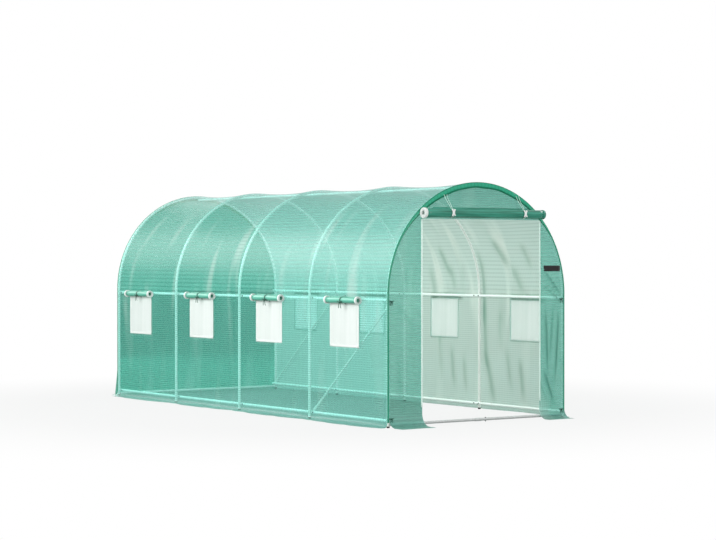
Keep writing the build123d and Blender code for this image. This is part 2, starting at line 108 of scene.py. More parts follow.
# Windows and their rolls
WINDOW_PITCH = 1.245
WINDOW_SHIFT = {"left": 0.0685, "right": -0.0285}
WINDOW_WIDTH = 0.452
WINDOW_HEIGHT = 0.400
WINDOW_TOP = 1.073
WINDOW_BORDER = 0.022  # of edge tape
OPENING_HALF = 0.216
OPENING_FOOT = 0.683
OPENING_TOP = 1.063
WINDOW_ROLL_Z = 1.092
WINDOW_ROLL_OUT = 1.0401
WINDOW_ROLL_HALF = 0.230
WINDOW_ROLL_SHIFT = -0.022  # from the middle of the window
WINDOW_RING = 0.240  # from the middle of the roll
WINDOW_TIE_RADIUS = 0.0285  # round the axis of the roll


# Tools for modelling


def deselect():
    """Leaves object mode with nothing selected."""
    if bpy.context.object and bpy.context.object.mode != "OBJECT":
        bpy.ops.object.mode_set(mode="OBJECT")
    bpy.ops.object.select_all(action="DESELECT")


def pick(piece):
    """Makes a piece the only one selected."""
    deselect()
    piece.select_set(True)
    bpy.context.view_layer.objects.active = piece


def apply_place():
    """Puts the place, turn and size of what is picked into its mesh."""
    bpy.ops.object.transform_apply(location=True, rotation=True, scale=True)


def modify(piece, kind, **settings):
    """Adds a modifier to a piece and applies it."""
    pick(piece)
    modifier = piece.modifiers.new(kind.lower(), kind)
    for name, value in settings.items():
        setattr(modifier, name, value)
    bpy.ops.object.modifier_apply(modifier=modifier.name)


def edit_all(piece, operator, **settings):
    """Runs a mesh operator on the whole of a piece."""
    pick(piece)
    bpy.ops.object.mode_set(mode="EDIT")
    bpy.ops.mesh.select_all(action="SELECT")
    operator(**settings)
    bpy.ops.object.mode_set(mode="OBJECT")


def join(name, pieces):
    """Joins pieces into one."""
    deselect()
    for piece in pieces:
        piece.select_set(True)
    bpy.context.view_layer.objects.active = pieces[0]
    if len(pieces) > 1:
        bpy.ops.object.join()
    pieces[0].name = pieces[0].data.name = name
    return pieces[0]


def paint(piece, *materials):
    """Gives a piece its materials, the first on all its faces."""
    piece.data.materials.clear()
    for material in materials:
        piece.data.materials.append(material)


def stations(marks, step):
    """Evenly divided lines between marks, none further apart than step."""
    lines = [marks[0]]
    for start, end in zip(marks, marks[1:]):
        count = max(1, math.ceil((end - start) / step - 1e-6))
        lines += [start + (end - start) * i / count for i in range(1, count + 1)]
    return lines


def distances(spots):
    """Distance of each spot along a line of spots."""
    run = [0.0]
    for a, b in zip(spots, spots[1:]):
        run.append(run[-1] + (b - a).length)
    return run


def wander(x, y, z, size):
    """Smooth noise from -1 to 1 whose lumps are about size across."""
    return noise.noise(Vector((x / size, y / size, z / size)))


def smooth(low, high, value):
    """Rises smoothly from 0 at low to 1 at high."""
    t = min(1.0, max(0.0, (value - low) / (high - low)))
    return t * t * (3 - 2 * t)


def lay_sheet(name, across, along, place):
    """Lays out a grid, one line per station, and moves each point to its place on the hung sheet.

    Its UV map holds the stations in metres, so that the weave follows the cloth.
    """
    cells_x, cells_y = len(across) - 1, len(along) - 1
    deselect()
    bpy.ops.mesh.primitive_grid_add(x_subdivisions=cells_x, y_subdivisions=cells_y, size=1.0)
    piece = bpy.context.object
    piece.name = piece.data.name = name
    points = piece.data.vertices
    spots = [(round((v.co.x + 0.5) * cells_x), round((v.co.y + 0.5) * cells_y)) for v in points]
    for vertex, (i, j) in zip(points, spots):
        vertex.co = place(across[i], along[j])
    uv = piece.data.uv_layers.active.data
    for loop in piece.data.loops:
        i, j = spots[loop.vertex_index]
        uv[loop.index].uv = (across[i], along[j])
    return piece


def drop_faces(piece, unwanted):
    """Deletes the faces whose UV middle is unwanted."""
    pick(piece)
    bpy.ops.object.mode_set(mode="EDIT")
    bpy.ops.mesh.select_mode(type="FACE")
    bpy.ops.mesh.select_all(action="DESELECT")
    bpy.ops.object.mode_set(mode="OBJECT")
    uv = piece.data.uv_layers.active.data
    for face in piece.data.polygons:
        spots = [uv[i].uv for i in face.loop_indices]
        middle = sum((Vector((s[0], s[1])) for s in spots), Vector((0, 0))) / len(spots)
        face.select = unwanted(middle.x, middle.y)
    bpy.ops.object.mode_set(mode="EDIT")
    bpy.ops.mesh.delete(type="FACE")
    bpy.ops.object.mode_set(mode="OBJECT")


def face_outwards(piece, outwards):
    """Turns a sheet round if its faces look away from the given side."""
    votes = sum(face.area * face.normal.dot(outwards(face.center)) for face in piece.data.polygons)
    if votes < 0:
        edit_all(piece, bpy.ops.mesh.flip_normals)


def thicken(piece, thickness, *materials):
    """Gives a sheet its materials, a second one on its inner side, its thickness there and smooth shading."""
    paint(piece, *materials)
    modify(
        piece,
        "SOLIDIFY",
        thickness=thickness,
        offset=-1.0,
        use_even_offset=True,
        material_offset=len(materials) - 1,
        material_offset_rim=0,
    )
    pick(piece)
    bpy.ops.object.shade_smooth()


def settle(piece, slot, *nodes):
    """Fixes a finished piece to the frame, in place of the nodes that it stands for. Its slot is not used."""
    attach(piece, "root")
    if nodes:
        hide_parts(*nodes)
    return piece


# Materials


def hex_colour(code):
    """Linear colour of an sRGB hex value."""
    parts = [int(code[i : i + 2], 16) / 255 for i in (1, 3, 5)]
    return [p / 12.92 if p <= 0.04045 else ((p + 0.055) / 1.055) ** 2.4 for p in parts] + [1.0]


def node(tree, kind, inputs=None, out=0, **settings):
    """Adds a node with its settings, sets or links its inputs, and gives one of its outputs."""
    made = tree.nodes.new("ShaderNode" + kind)
    for name, value in settings.items():
        setattr(made, name, value)
    for socket, value in (inputs or {}).items():
        if isinstance(value, bpy.types.NodeSocket):
            tree.links.new(value, made.inputs[socket])
        else:
            made.inputs[socket].default_value = value
    return made.outputs[out] if made.outputs else None


def new_material(name):
    """Empty node material, and its tree."""
    material = bpy.data.materials.new(name)
    material.use_nodes = True
    material.node_tree.nodes.clear()
    return material, material.node_tree


WHITE = hex_colour("#ffffff")
PASSED_LIGHT = hex_colour("#f6fcf9")  # tint of the light that passes the film
# pale grey of the painted highlight streaks on the shoulders
PAINTED_SHOULDER_HIGHLIGHT = hex_colour("#e9ece9")
RIB_PITCH = 0.040  # five weft tapes of 8 mm, as the ribs show on the roof; half of it on the walls
WARP_PITCH = 0.024  # three warp tapes of 8 mm
WALL_WEAVE = 1.62  # girth past which the weave is the finer one of the walls


def woven_pattern(tree):
    """Ribs, cross threads, painted highlight streaks and painted fold shade of the film on its UV map, each from 0 to
    1.

    The map is in metres. The ribs waver over 0.4 m. The painted highlight streaks are about 1.2 m long and 0.2 m
    wide, on the shoulders of the tunnel, and the patches of painted fold shade are 0.6 m long and 0.14 m wide.
    """
    uv = node(tree, "UVMap", uv_map="UVMap")
    girth = node(tree, "SeparateXYZ", {0: uv})
    length = node(tree, "SeparateXYZ", {0: uv}, "Y")
    waver = node(tree, "TexNoise", {"Vector": uv, "Scale": 2.5, "Detail": 1.0})
    reach = node(tree, "Math", {0: girth}, operation="ABSOLUTE")
    finer = {1: WALL_WEAVE - 0.020, 2: WALL_WEAVE - 0.005, 3: TAU / RIB_PITCH, 4: 2 * TAU / RIB_PITCH}
    turns = node(tree, "MapRange", {0: reach, **finer})
    turn = node(tree, "Math", {0: girth, 1: turns}, operation="MULTIPLY")
    turn = node(tree, "Math", {0: waver, 1: 1.2, 2: turn}, operation="MULTIPLY_ADD")
    rib = node(tree, "Math", {0: turn}, operation="SINE")
    rib = node(tree, "MapRange", {0: rib, 1: -1.0, 2: 0.0}, interpolation_type="SMOOTHSTEP")
    turn = node(tree, "Math", {0: length, 1: TAU / WARP_PITCH}, operation="MULTIPLY")
    warp = node(tree, "Math", {0: turn}, operation="SINE")
    warp = node(tree, "MapRange", {0: warp, 1: 0.2, 2: 1.0}, interpolation_type="SMOOTHSTEP")
    # Painted highlight: pale streaks on the shoulders stand for the glare of the lamps on the film
    pulled = node(tree, "Mapping", {"Vector": uv, "Scale": (0.8, 4.5, 1.0)})
    streak = node(tree, "TexNoise", {"Vector": pulled, "Scale": 1.0, "Detail": 1.5})
    streak = node(tree, "MapRange", {0: streak, 1: 0.52, 2: 0.72}, interpolation_type="SMOOTHSTEP")
    below = node(tree, "MapRange", {0: reach, 1: 0.5, 2: 1.1}, interpolation_type="SMOOTHSTEP")
    fading = {1: 1.6, 2: 2.1, 3: 1.0, 4: 0.25}
    above = node(tree, "MapRange", {0: reach, **fading}, interpolation_type="SMOOTHSTEP")
    shoulder = node(tree, "Math", {0: below, 1: above}, operation="MULTIPLY")
    streak = node(tree, "Math", {0: streak, 1: shoulder}, operation="MULTIPLY")
    # Painted shade: soft dark patches where the film folds
    slack = {"Vector": uv, "Scale": (1.7, 7.0, 1.0), "Rotation": (0, 0, 0.12)}
    fold = node(tree, "Mapping", slack)
    fold = node(tree, "TexNoise", {"Vector": fold, "Scale": 1.0, "Detail": 2.0})
    fold = node(tree, "MapRange", {0: fold, 1: 0.54, 2: 0.74}, interpolation_type="SMOOTHSTEP")
    return rib, warp, streak, fold


def film_material(
    name, film, thread, clear, opacity, ribs, warps, glow=0.45, roughness=0.34, gloss=0.0,
    lining=False, folds="", seam="", from_inside="",
):
    """Laminated woven polyethylene film: a clear tinted film with paler, denser ribs and a soft satin shine.

    A lining is the pale haze on the inside of the film, which shows from the inside only. Pale streaks are a painted
    highlight. Folds, and both edges of a hem's section, are painted darker as painted shade. A film may be painted a
    deeper green seen from the inside, as painted shade.
    """
    material, tree = new_material(name)
    rib, warp, streak, fold = woven_pattern(tree)
    weave = node(tree, "Math", {0: warp, 1: 0.5, 2: rib}, operation="MULTIPLY_ADD")
    # The streaks paint a highlight into the colour
    pale = node(tree, "Math", {0: streak, 1: 0.8, 2: weave}, operation="MULTIPLY_ADD")
    colour = node(tree, "Mix", {0: pale, 6: hex_colour(film), 7: hex_colour(thread)}, 2, data_type="RGBA")
    if gloss:
        # Glossy films are painted paler still in the streaks: painted highlight
        haze = node(tree, "Math", {0: streak, 1: 0.7}, operation="MULTIPLY")
        colour = node(tree, "Mix", {0: haze, 6: colour, 7: PAINTED_SHOULDER_HIGHLIGHT}, 2, data_type="RGBA")
    if folds:
        # Painted shade of the folds: their modelled depth and soft noise darken the colour
        deep = node(tree, "Attribute", out="Fac", attribute_name="fold")
        deep = node(tree, "Math", {0: fold, 1: 0.25, 2: deep}, operation="MULTIPLY_ADD", use_clamp=True)
        colour = node(tree, "Mix", {0: deep, 6: colour, 7: hex_colour(folds)}, 2, data_type="RGBA")
    if seam:
        # Painted shade along both edges of a hem's section
        step = node(tree, "UVMap", uv_map="UVMap")
        step = node(tree, "SeparateXYZ", {0: step}, "Y")
        inner = node(tree, "MapRange", {0: step, 1: 4.8, 2: 5.5}, interpolation_type="SMOOTHSTEP")
        outer = node(tree, "MapRange", {0: step, 1: 3.2, 2: 4.2, 3: 1.0, 4: 0.0})
        edge = node(tree, "Math", {0: inner, 1: outer}, operation="MAXIMUM")
        colour = node(tree, "Mix", {0: edge, 6: colour, 7: hex_colour(seam)}, 2, data_type="RGBA")
    dense = node(tree, "Math", {0: rib, 1: ribs, 2: opacity}, operation="MULTIPLY_ADD")
    dense = node(tree, "Math", {0: warp, 1: warps, 2: dense}, operation="MULTIPLY_ADD")
    # The painted highlight streaks also make the film denser
    dense = node(tree, "Math", {0: streak, 1: 0.22, 2: dense}, operation="MULTIPLY_ADD")
    if folds:
        # The painted shade of the folds also makes them denser
        dense = node(tree, "Math", {0: deep, 1: 0.40, 2: dense}, operation="MULTIPLY_ADD", use_clamp=True)
    shadow = node(tree, "LightPath", out="Is Shadow Ray")
    lets_light = node(tree, "MapRange", {0: shadow, 3: 1.0, 4: 0.35})
    dense = node(tree, "Math", {0: dense, 1: lets_light}, operation="MULTIPLY")
    behind = node(tree, "NewGeometry", out="Backfacing")
    front = node(tree, "Math", {0: 1.0, 1: behind}, operation="SUBTRACT")
    if lining:
        dense = node(tree, "Math", {0: dense, 1: front}, operation="MULTIPLY")
    tint = hex_colour(clear)
    if from_inside:
        # Painted shade: a deeper tint where the film is seen from the inside
        tint = node(tree, "Mix", {0: behind, 6: tint, 7: hex_colour(from_inside)}, 2, data_type="RGBA")
    tint = node(tree, "Mix", {0: shadow, 6: tint, 7: PASSED_LIGHT}, 2, data_type="RGBA")
    bump = node(tree, "Bump", {"Height": weave, "Strength": 0.3, "Distance": 0.0006})
    finish = {"Base Color": colour, "Roughness": 0.7, "Specular IOR Level": 0.1, "Normal": bump}
    skin = node(tree, "BsdfPrincipled", finish)
    lit_through = node(tree, "BsdfTranslucent", {"Color": colour, "Normal": bump})
    body = node(tree, "MixShader", {0: glow, 1: skin, 2: lit_through})
    see_through = node(tree, "BsdfTransparent", {"Color": tint})
    whole = node(tree, "MixShader", {0: dense, 1: see_through, 2: body})
    if not lining:
        rim = node(tree, "Fresnel", {"IOR": 1.45})
        rim = node(tree, "Math", {0: rim, 1: front}, operation="MULTIPLY")
        dull = node(tree, "MapRange", {0: shadow, 3: gloss, 4: 0.0})
        dull = node(tree, "Math", {0: dull, 1: rim}, operation="MULTIPLY")
        ridge = node(tree, "MapRange", {0: rib, 3: 1.15, 4: 0.75})
        rim = node(tree, "Math", {0: dull, 1: ridge}, operation="MULTIPLY")
        shine = node(tree, "BsdfGlossy", {"Roughness": roughness})
        whole = node(tree, "MixShader", {0: rim, 1: whole, 2: shine})
    node(tree, "OutputMaterial", {"Surface": whole})
    return material


# Roof and side walls: clear green outside, with pale streaks of painted highlight, and milky inside, where the
# folds are painted grey as painted shade
film_outer = film_material(
    "green_woven_film", "#22a791", "#8ae0d1", "#b9f3f0",
    opacity=0.12, ribs=0.15, warps=0.05, gloss=0.55,
)
film_inner = film_material(
    "pale_film_inside", "#d4d3cd", "#e1dfda", "#ffffff",
    opacity=0.80, ribs=0.04, warps=0.03, glow=0.5, lining=True, folds="#93a89c",
)
# End walls: clear green with hardly any haze inside; the front's folds are painted deep green as painted shade
end_film = film_material(
    "green_end_film", "#3ab69e", "#88d8c6", "#b2dfda",
    opacity=0.20, ribs=0.09, warps=0.05, gloss=0.5, folds="#0c6a55",
)
# The back wall is a copy of the end film painted a deeper green, most of all seen from the inside: painted shade
back_end_film = film_material(
    "green_back_film", "#33b89c", "#7cdac4", "#b4e6de",
    opacity=0.20, ribs=0.09, warps=0.05, gloss=0.5, from_inside="#84ead0",
)
end_inner = film_material(
    "clear_film_inside", "#c4e2d8", "#dcefe8", "#ffffff",
    opacity=0.08, ribs=0.06, warps=0.02, glow=0.5, lining=True,
)
# Hems: doubled film, denser, with less shine; the front one is painted darker along both edges of its
# section, as painted shade
back_hem_film = film_material(
    "doubled_back_film", "#43bd9f", "#7fd6c0", "#a8e6d8",
    opacity=0.35, ribs=0.08, warps=0.03, roughness=0.45, gloss=0.5,
)
hem_film = film_material(
    "doubled_green_film", "#3bbd99", "#43c4a2", "#8fdcc6",
    opacity=0.80, ribs=0.10, warps=0.03, glow=0.35, roughness=0.45, gloss=0.5, seam="#1e8c6d",
)


def let_light(tree, shader, share):
    """Lets a share of the light pass through a thin cloth on its way into the tunnel."""
    shadow = node(tree, "LightPath", out="Is Shadow Ray")
    passed = node(tree, "Math", {0: shadow, 1: share}, operation="MULTIPLY")
    clear = node(tree, "BsdfTransparent", {"Color": WHITE})
    return node(tree, "MixShader", {0: passed, 1: shader, 2: clear})


def wound_film(name, deep, pale, passes):
    """Film wound up in many turns: deep green and opaque, with long pale streaks where the turns catch the light.

    The streaks are about 17 mm wide and half a metre long.
    """
    material, tree = new_material(name)
    uv = node(tree, "UVMap", uv_map="UVMap")
    streak = node(tree, "Mapping", {"Vector": uv, "Scale": (2.0, 60.0, 1.0)})
    streak = node(tree, "TexNoise", {"Vector": streak, "Scale": 1.0, "Detail": 4.0})
    streak = node(tree, "MapRange", {0: streak, 1: 0.35, 2: 0.68})
    colour = node(tree, "Mix", {0: streak, 6: hex_colour(deep), 7: hex_colour(pale)}, 2, data_type="RGBA")
    bump = node(tree, "Bump", {"Height": streak, "Strength": 0.4, "Distance": 0.0012})
    skin = node(tree, "BsdfPrincipled", {"Base Color": colour, "Roughness": 0.36, "Normal": bump})
    node(tree, "OutputMaterial", {"Surface": let_light(tree, skin, passes)})
    return material


def window_mesh():
    """Fine white insect mesh: dense threads that let a little of the room through.

    The real threads are about 1 mm apart. They are drawn 5.6 mm apart, as coarse as they need to be to show. The mesh
    is painted greyer in soft folds about 70 mm wide, as painted shade.
    """
    material, tree = new_material("white_insect_mesh")
    uv = node(tree, "UVMap", uv_map="UVMap")
    grid = {"Vector": uv, "Scale": 90.0, "Mortar Size": 0.02, "Brick Width": 0.5, "Row Height": 0.5}
    threads = node(tree, "TexBrick", grid, "Fac", offset=0.0)
    # Painted shade: the mesh is painted greyer in its soft folds
    fold = node(tree, "Mapping", {"Vector": uv, "Scale": (14.0, 0.6, 1.0)})
    fold = node(tree, "TexNoise", {"Vector": fold, "Scale": 1.0, "Detail": 3.0})
    colour = node(tree, "Mix", {0: fold, 6: hex_colour("#e3e9e6"), 7: WHITE}, 2, data_type="RGBA")
    bump = node(tree, "Bump", {"Height": threads, "Strength": 0.2, "Distance": 0.0004})
    skin = node(tree, "BsdfPrincipled", {"Base Color": colour, "Roughness": 0.6, "Normal": bump})
    lit_through = node(tree, "BsdfTranslucent", {"Color": colour})
    body = node(tree, "MixShader", {0: 0.4, 1: skin, 2: lit_through})
    dense = node(tree, "MapRange", {0: threads, 3: 0.96, 4: 0.88})
    see_through = node(tree, "BsdfTransparent", {"Color": WHITE})
    whole = node(tree, "MixShader", {0: dense, 1: see_through, 2: body})
    node(tree, "OutputMaterial", {"Surface": whole})
    return material


rolled_film = wound_film("wound_door_film", "#0e6651", "#3fa48c", 0.0)
window_roll_film = wound_film("wound_window_film", "#3d9f86", "#74c6b0", 0.6)
insect_mesh = window_mesh()


def galvanised_steel(name, shade, lighter, glow):
    """Galvanised steel tube: pale grey zinc with a soft shine and faint blooms, about 17 mm across.

    Its zinc has dulled to a pale skin, so little of it shines as metal does. The glow stands for the light that the
    film scatters inside the tunnel.
    """
    material, tree = new_material(name)
    spot = node(tree, "TexCoord", out="Object")
    bloom = node(tree, "TexNoise", {"Vector": spot, "Scale": 60.0, "Detail": 5.0})
    colour = node(tree, "Mix", {0: bloom, 6: hex_colour(shade), 7: hex_colour(lighter)}, 2, data_type="RGBA")
    finish = {
        "Base Color": colour,
        "Metallic": 0.2,
        "Roughness": node(tree, "MapRange", {0: bloom, 3: 0.32, 4: 0.52}),
        "Normal": node(tree, "Bump", {"Height": bloom, "Strength": 0.12, "Distance": 0.0004}),
        "Emission Color": colour,
        "Emission Strength": glow,
    }
    node(tree, "OutputMaterial", {"Surface": node(tree, "BsdfPrincipled", finish)})
    return material


def matt_plastic(name, shade, lighter, roughness):
    """Moulded plastic: an even colour with a fine spark-eroded grain of about 1 mm."""
    material, tree = new_material(name)
    spot = node(tree, "TexCoord", out="Object")
    grain = node(tree, "TexNoise", {"Vector": spot, "Scale": 900.0, "Detail": 2.0})
    colour = node(tree, "Mix", {0: grain, 6: hex_colour(shade), 7: hex_colour(lighter)}, 2, data_type="RGBA")
    bump = node(tree, "Bump", {"Height": grain, "Strength": 0.15, "Distance": 0.0003})
    skin = node(tree, "BsdfPrincipled", {"Base Color": colour, "Roughness": roughness, "Normal": bump})
    node(tree, "OutputMaterial", {"Surface": skin})
    return material


steel = galvanised_steel("galvanised_steel_tube", "#dedbd9", "#f6f3f2", 0.06)
# The rails: a whiter copy of the tube steel with more glow, painted light; the sill: a darker copy, painted shade
lit_rail_steel = galvanised_steel("painted_lit_rail_steel", "#eef0ef", "#ffffff", 0.10)
shaded_sill_steel = galvanised_steel("painted_shade_sill_steel", "#b6b8b8", "#dedfdf", 0.0)
foot_plastic = matt_plastic("black_moulded_foot", "#151515", "#262626", 0.55)
clip_plastic = matt_plastic("white_moulded_clip", "#e9ecea", "#f7f8f7", 0.4)
bolt_black = matt_plastic("black_coated_bolt", "#1b1d1c", "#303332", 0.4)


def tape_material(name, shade, lighter, thread, passes=0.0):
    """Woven tape: slanting threads, matt; a thin one lets a share of the light pass.

    The real threads are about 1 mm wide. They are drawn 3 to 4 mm wide, as coarse as they need to be to show.
    """
    material, tree = new_material(name)
    spot = node(tree, "TexCoord", out="Object")
    weave = {"Vector": spot, "Scale": 0.5 / thread, "Distortion": 1.5, "Detail": 2.0}
    rows = node(tree, "TexWave", weave, "Fac", bands_direction="DIAGONAL")
    colour = node(tree, "Mix", {0: rows, 6: hex_colour(shade), 7: hex_colour(lighter)}, 2, data_type="RGBA")
    bump = node(tree, "Bump", {"Height": rows, "Strength": 0.3, "Distance": 0.0004})
    finish = {"Base Color": colour, "Roughness": 0.8, "Normal": bump, "Sheen Weight": 0.15}
    skin = node(tree, "BsdfPrincipled", finish)
    lit_through = node(tree, "BsdfTranslucent", {"Color": colour})
    body = node(tree, "MixShader", {0: 0.5 * passes, 1: skin, 2: lit_through})
    node(tree, "OutputMaterial", {"Surface": let_light(tree, body, passes)})
    return material


white_tape = tape_material("white_edge_tape", "#e2e8e5", "#fbfcfb", 0.004, 0.6)
zip_tape = tape_material("pale_zip_tape", "#e6f8f1", "#ffffff", 0.004, 0.7)
tie_cord = tape_material("pale_green_cord", "#a9dac9", "#dff3ec", 0.003, 0.3)
dark_tie = tape_material("dark_green_tie", "#0b4637", "#165c4a", 0.003)
patch_cloth = tape_material("black_woven_patch", "#060606", "#111111", 0.003)

# Camera at the photograph's place
camera = bpy.data.objects.new("camera", bpy.data.cameras.new("camera"))
bpy.context.collection.objects.link(camera)
camera.location = (-10.876, -16.090, 1.4635)
camera.rotation_euler = (math.radians(89.65), 0, math.radians(-35.04))
camera.data.sensor_width = 36.0
camera.data.lens = 98.49
bpy.context.scene.camera = camera

# Film over the roof and the side walls, from one skirt to the other


def sag_between_hoops(y):
    """0 on the hoops and 1 in the middle of a bay."""
    if abs(y) >= HALF_LENGTH:
        return 0.0
    t = ((y + HALF_LENGTH) / BAY) % 1.0
    return 4 * t * (1 - t)


def crease(x, z, start, end, depth, width):
    """Depth of a straight crease in a film between two places on its wall."""
    a, b, p = Vector(start), Vector(end), Vector((x, z))
    t = max(0.0, min(1.0, (p - a).dot(b - a) / (b - a).length_squared))
    distance = (p - a - (b - a) * t).length
    return depth * math.exp(-((distance / width) ** 2)) * smooth(0.0, 0.3, t) * smooth(0.0, 0.4, 1 - t)


RIGHT_CREASES = [  # start and end, along the tunnel and up the right wall, then depth and width
    ((-1.26, 1.66), (-1.31, 0.72), 0.010, 0.034),
    ((-1.28, 1.16), (-1.33, 0.30), 0.011, 0.038),
    ((-1.30, 0.62), (-1.48, -0.05), 0.011, 0.040),
    ((-0.70, 1.62), (-0.77, 1.24), 0.010, 0.046),
    ((-0.79, 1.42), (-0.84, 1.10), 0.008, 0.044),
    ((-1.56, 1.68), (-1.72, 1.34), 0.011, 0.048),
    ((-1.74, 1.42), (-1.90, 1.06), 0.009, 0.050),
    ((-1.97, 1.64), (-2.04, 1.32), 0.008, 0.044),
    ((-0.77, 0.66), (-0.83, 0.10), 0.009, 0.036),
    ((-0.97, 0.56), (-1.01, 0.10), 0.008, 0.034),
    ((-1.62, 0.66), (-1.71, 0.14), 0.008, 0.036),
    ((-1.82, 0.58), (-1.89, 0.04), 0.010, 0.038),
    ((-1.52, 1.02), (-1.55, 0.52), 0.006, 0.040),
    ((-0.45, 1.46), (-0.53, 0.88), 0.008, 0.046),
    ((-0.58, 0.80), (-0.62, 0.22), 0.006, 0.040),
]


def right_folds(y, z):
    """Depth of the folds that the film of the right wall is pulled into, with none on its hoop."""
    if not -2.25 < y < -0.25:
        return 0.0
    off_hoop = smooth(0.0, 0.05, abs(y + BAY) - HOOP_HALF)
    return off_hoop * sum(crease(y, z, *fold) for fold in RIGHT_CREASES)


def shade_folds(piece, depth_at):
    """Keeps the depth of the folds with the points of a sheet, for its shading."""
    shade = piece.data.attributes.new("fold", "FLOAT", "POINT")
    for vertex, point in zip(piece.data.vertices, shade.data):
        point.value = max(0.0, min(1.0, abs(depth_at(vertex.co)) / FOLD_DEPTH))


def cover_place(girth, y):
    """Point of the main film: girth is counted from the ridge, minus to the left and plus to the right."""
    side = -1 if girth < 0 else 1
    g = abs(girth)
    slack = sag_between_hoops(y)
    ripple = wander(y + 0.15 * girth, girth * 0.20, 3.1, 0.16) * 0.0009
    ripple += wander(y, girth * 0.25, 7.7, 0.33) * 0.0014
    ripple *= smooth(0.0, 0.35, slack)
    if g <= TO_SPRING:
        angle = g / FILM_RADIUS
        dip = ROOF_SAG * slack * max(0.0, math.cos(angle)) ** 0.75
        r = FILM_RADIUS - dip + ripple * smooth(0.0, 0.3, math.sin(angle))
        if side > 0:
            r -= FOLD_SHARE * right_folds(y, SPRING + r * math.cos(angle))
        return Vector((side * r * math.sin(angle), y, SPRING + r * math.cos(angle)))
    if g <= TO_BEND:
        z = SPRING - (g - TO_SPRING)
        hang = smooth(0.0, 0.2, SPRING - z)
        belly = -0.004 * slack * math.sin(math.pi * (SPRING - z) / SPRING)
        if side > 0:
            belly -= FOLD_SHARE * right_folds(y, z)
        return Vector((side * (FILM_RADIUS + belly + ripple * 0.8 * hang), y, z))
    full = 0.60 + 0.47 * slack**0.7 + 0.10 * wander(y, 2.0 * side, 0.0, 0.25)
    curl = 0.006 * max(0.0, wander(y, 5.0 * side, 1.0, 0.16))
    z = GROUND_GAP + curl * smooth(TO_BEND, TO_EDGE, g)
    out = SIDE_BEND + (g - TO_GROUND)
    if g <= TO_GROUND:
        turn = (g - TO_BEND) / SIDE_BEND
        out = SIDE_BEND * (1 - math.cos(turn))
        z = max(z, SIDE_BEND * (1 - math.sin(turn)))
    return Vector((side * (FILM_RADIUS + out * full), y, z))


def window_middles(side):
    """Middles of one side's windows along the tunnel."""
    return [WINDOW_SHIFT[side] + WINDOW_PITCH * (i - 1.5) for i in range(4)]


def make_cover():
    """One sheet from skirt to skirt, with the window openings cut out; its grid is finer at the folds."""
    to_opening_top = TO_SPRING + SPRING - OPENING_TOP
    to_opening_foot = TO_SPRING + SPRING - OPENING_FOOT
    wall = [TO_SPRING, to_opening_top, to_opening_foot, TO_BEND]
    skirt = stations([TO_BEND, TO_GROUND], 0.014)[1:] + stations([TO_GROUND, TO_EDGE], 0.02)[1:]
    left = stations([0.0] + wall, 0.036) + skirt
    right = stations([0.0, 1.0], 0.036) + stations([1.0] + wall, 0.024)[1:] + skirt
    across = [-g for g in reversed(left)][:-1] + right
    marks = {-END_FILM + 0.004, END_FILM - 0.004}
    for hoop in HOOPS[1:-1]:
        marks |= {hoop - HOOP_HALF, hoop, hoop + HOOP_HALF}
    for side in SIDES:
        for middle in window_middles(side):
            marks |= {middle - OPENING_HALF, middle + OPENING_HALF}
    marks = sorted(marks)
    near = [m for m in marks if m < -0.2]
    along = stations(near, 0.022) + stations([near[-1]] + [m for m in marks if m >= -0.2], 0.036)[1:]
    film = lay_sheet("cover_film", across, along, cover_place)
    shade_folds(film, lambda p: right_folds(p.y, p.z) if p.x > 0 else 0.0)

    def in_window(girth, y):
        if not to_opening_top < abs(girth) < to_opening_foot:
            return False
        side = "left" if girth < 0 else "right"
        return any(abs(y - middle) < OPENING_HALF for middle in window_middles(side))

    drop_faces(film, in_window)
    face_outwards(film, lambda p: Vector((p.x, 0, max(0.0, p.z - SPRING) + 0.01)))
    thicken(film, FILM_THICKNESS, film_outer, film_inner)
    return film


cover_film = settle(
    make_cover(),
    "woven_cover",
    *[f"roof_cover_bay_{i}" for i in range(1, 5)],
    "left_wall_cover",
    "right_wall_cover",
    "left_skirt",
    "right_skirt",
)

# Film of the end walls

FRONT_CREASES = [  # start and end, across and up the front, then depth and width
    ((0.70, 1.40), (1.00, 1.08), 0.014, 0.016),
    ((0.70, 1.32), (1.00, 1.06), -0.007, 0.014),
    ((0.70, 1.24), (1.00, 1.04), 0.012, 0.014),
    ((0.76, 1.10), (0.80, 0.28), 0.014, 0.020),
    ((0.88, 1.12), (0.82, 0.40), -0.010, 0.018),
    ((0.93, 1.10), (0.87, 0.18), 0.014, 0.019),
    ((0.72, 0.50), (0.90, 0.06), 0.014, 0.020),
    ((0.70, 0.36), (0.82, 0.10), -0.007, 0.014),
    ((-0.93, 1.10), (-0.66, 0.78), 0.006, 0.020),
    ((-0.90, 0.66), (-0.85, 0.18), 0.006, 0.018),
]


def front_folds(x, z):
    """How far the film of the front stands out where it is pulled into folds."""
    return sum(crease(x, z, *fold) for fold in FRONT_CREASES)


def end_swell(x, z, end):
    """How far the film of an end wall stands out of its plane."""
    edge = FILM_RADIUS - (abs(x) if z < SPRING else math.hypot(x, z - SPRING))
    swell = 0.0030 * wander(x, z, 9.0 * end, 0.35) + 0.0003 * wander(x, z, 2.0 * end, 0.12)
    if end < 0:
        swell += front_folds(x, z)
    return max(-0.008, swell) * smooth(0.0, 0.10, edge)


def end_columns(marks, step):
    """Places across an end wall, closer together where the arch is steep."""
    angles = [math.asin(m / FILM_RADIUS) for m in marks]
    return [FILM_RADIUS * math.sin(a) for a in stations(angles, step)]


def arch_rise(x):
    """Height of the arch above the spring, over a place across the tunnel."""
    return math.sqrt(max(0.0, FILM_RADIUS**2 - x * x))


